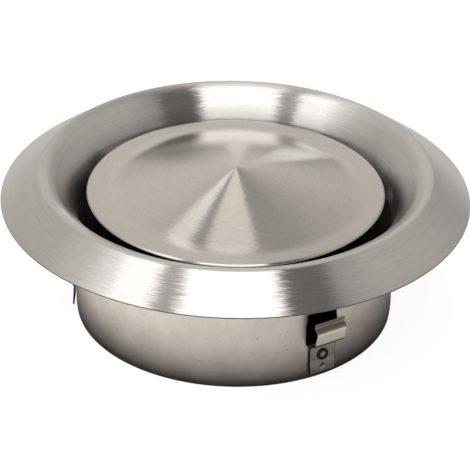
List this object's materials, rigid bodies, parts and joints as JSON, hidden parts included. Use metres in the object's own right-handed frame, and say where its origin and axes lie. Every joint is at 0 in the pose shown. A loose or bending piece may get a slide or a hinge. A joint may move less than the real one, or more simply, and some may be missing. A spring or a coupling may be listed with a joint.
{
  "type": "round exhaust vent valve",
  "caption": "Round stainless vent with a flared flange and bell mouth, a disc on a screw spindle that opens or closes the ring gap, and sprung clips on its duct neck.",
  "frame": {"origin": "on the valve's axis, at the neck's bottom edge", "axes": "+Z along the axis from the duct towards the room; the bridge lies along Y; the first clip is 32.7 degrees from -Y towards +X"},
  "size_m": [0.1394, 0.1394, 0.0466],
  "materials": {
    "spun_steel": "circular brushed stainless",
    "disc_steel": "fine circular brushed stainless",
    "turned_steel": "turned",
    "plated_steel": "bright zinc plate",
    "strip_steel": "mill finish",
    "rivet_steel": "satin",
    "dark_rivet": "dark, dull",
    "spring_steel": "yellowish plated spring steel"
  },
  "bodies": {
    "housing": {"neck": "spun_steel", "bell_mouth": "spun_steel", "flange": "spun_steel", "bridge": "strip_steel", "bridge_nut": "plated_steel", "ear_rivet_1": "rivet_steel", "ear_rivet_2": "rivet_steel", "ear_rivet_3": "rivet_steel", "ear_rivet_4": "rivet_steel", "clip_rivet_1": "dark_rivet", "clip_rivet_2": "dark_rivet", "clip_rivet_3": "dark_rivet"},
    "washer": {"thrust_washer": "plated_steel"},
    "disc": {"valve_disc": "disc_steel", "disc_boss": "turned_steel", "spindle": "plated_steel", "lock_nut": "plated_steel", "stop_nut": "plated_steel"},
    "clip_1": {"spring_clip_1": "spring_steel"},
    "clip_2": {"spring_clip_2": "spring_steel"},
    "clip_3": {"spring_clip_3": "spring_steel"}
  },
  "joints": [
    {"name": "disc_travel", "type": "slide", "parent": "housing", "child": "washer", "axis": [0, 0, 1], "range_m": [-0.006, 0.007]},
    {"name": "disc_turn", "type": "hinge", "parent": "washer", "child": "disc", "pos_m": [0, 0, 0.04], "axis": [0, 0, 1], "range_deg": [-2160, 2520]},
    {"name": "clip_1_flex", "type": "hinge", "parent": "housing", "child": "clip_1", "pos_m": [0.02593, -0.04039, 0.0108], "axis": [-0.8415, -0.5402, 0], "range_deg": [0, 40], "stiffness_Nm_per_rad": 0.11, "deforming": ["spring_clip_1"]},
    {"name": "clip_2_flex", "type": "hinge", "parent": "housing", "child": "clip_2", "pos_m": [0.02201, 0.04265, 0.0108], "axis": [0.8886, -0.4587, 0], "range_deg": [0, 40], "stiffness_Nm_per_rad": 0.11, "deforming": ["spring_clip_2"]},
    {"name": "clip_3_flex", "type": "hinge", "parent": "housing", "child": "clip_3", "pos_m": [-0.04795, -0.00226, 0.0108], "axis": [-0.0471, 0.9989, 0], "range_deg": [0, 40], "stiffness_Nm_per_rad": 0.11, "deforming": ["spring_clip_3"]}
  ],
  "couplings": [
    {"joint": "disc_travel", "follows": "disc_turn", "m_per_rad": 0.00015915}
  ]
}
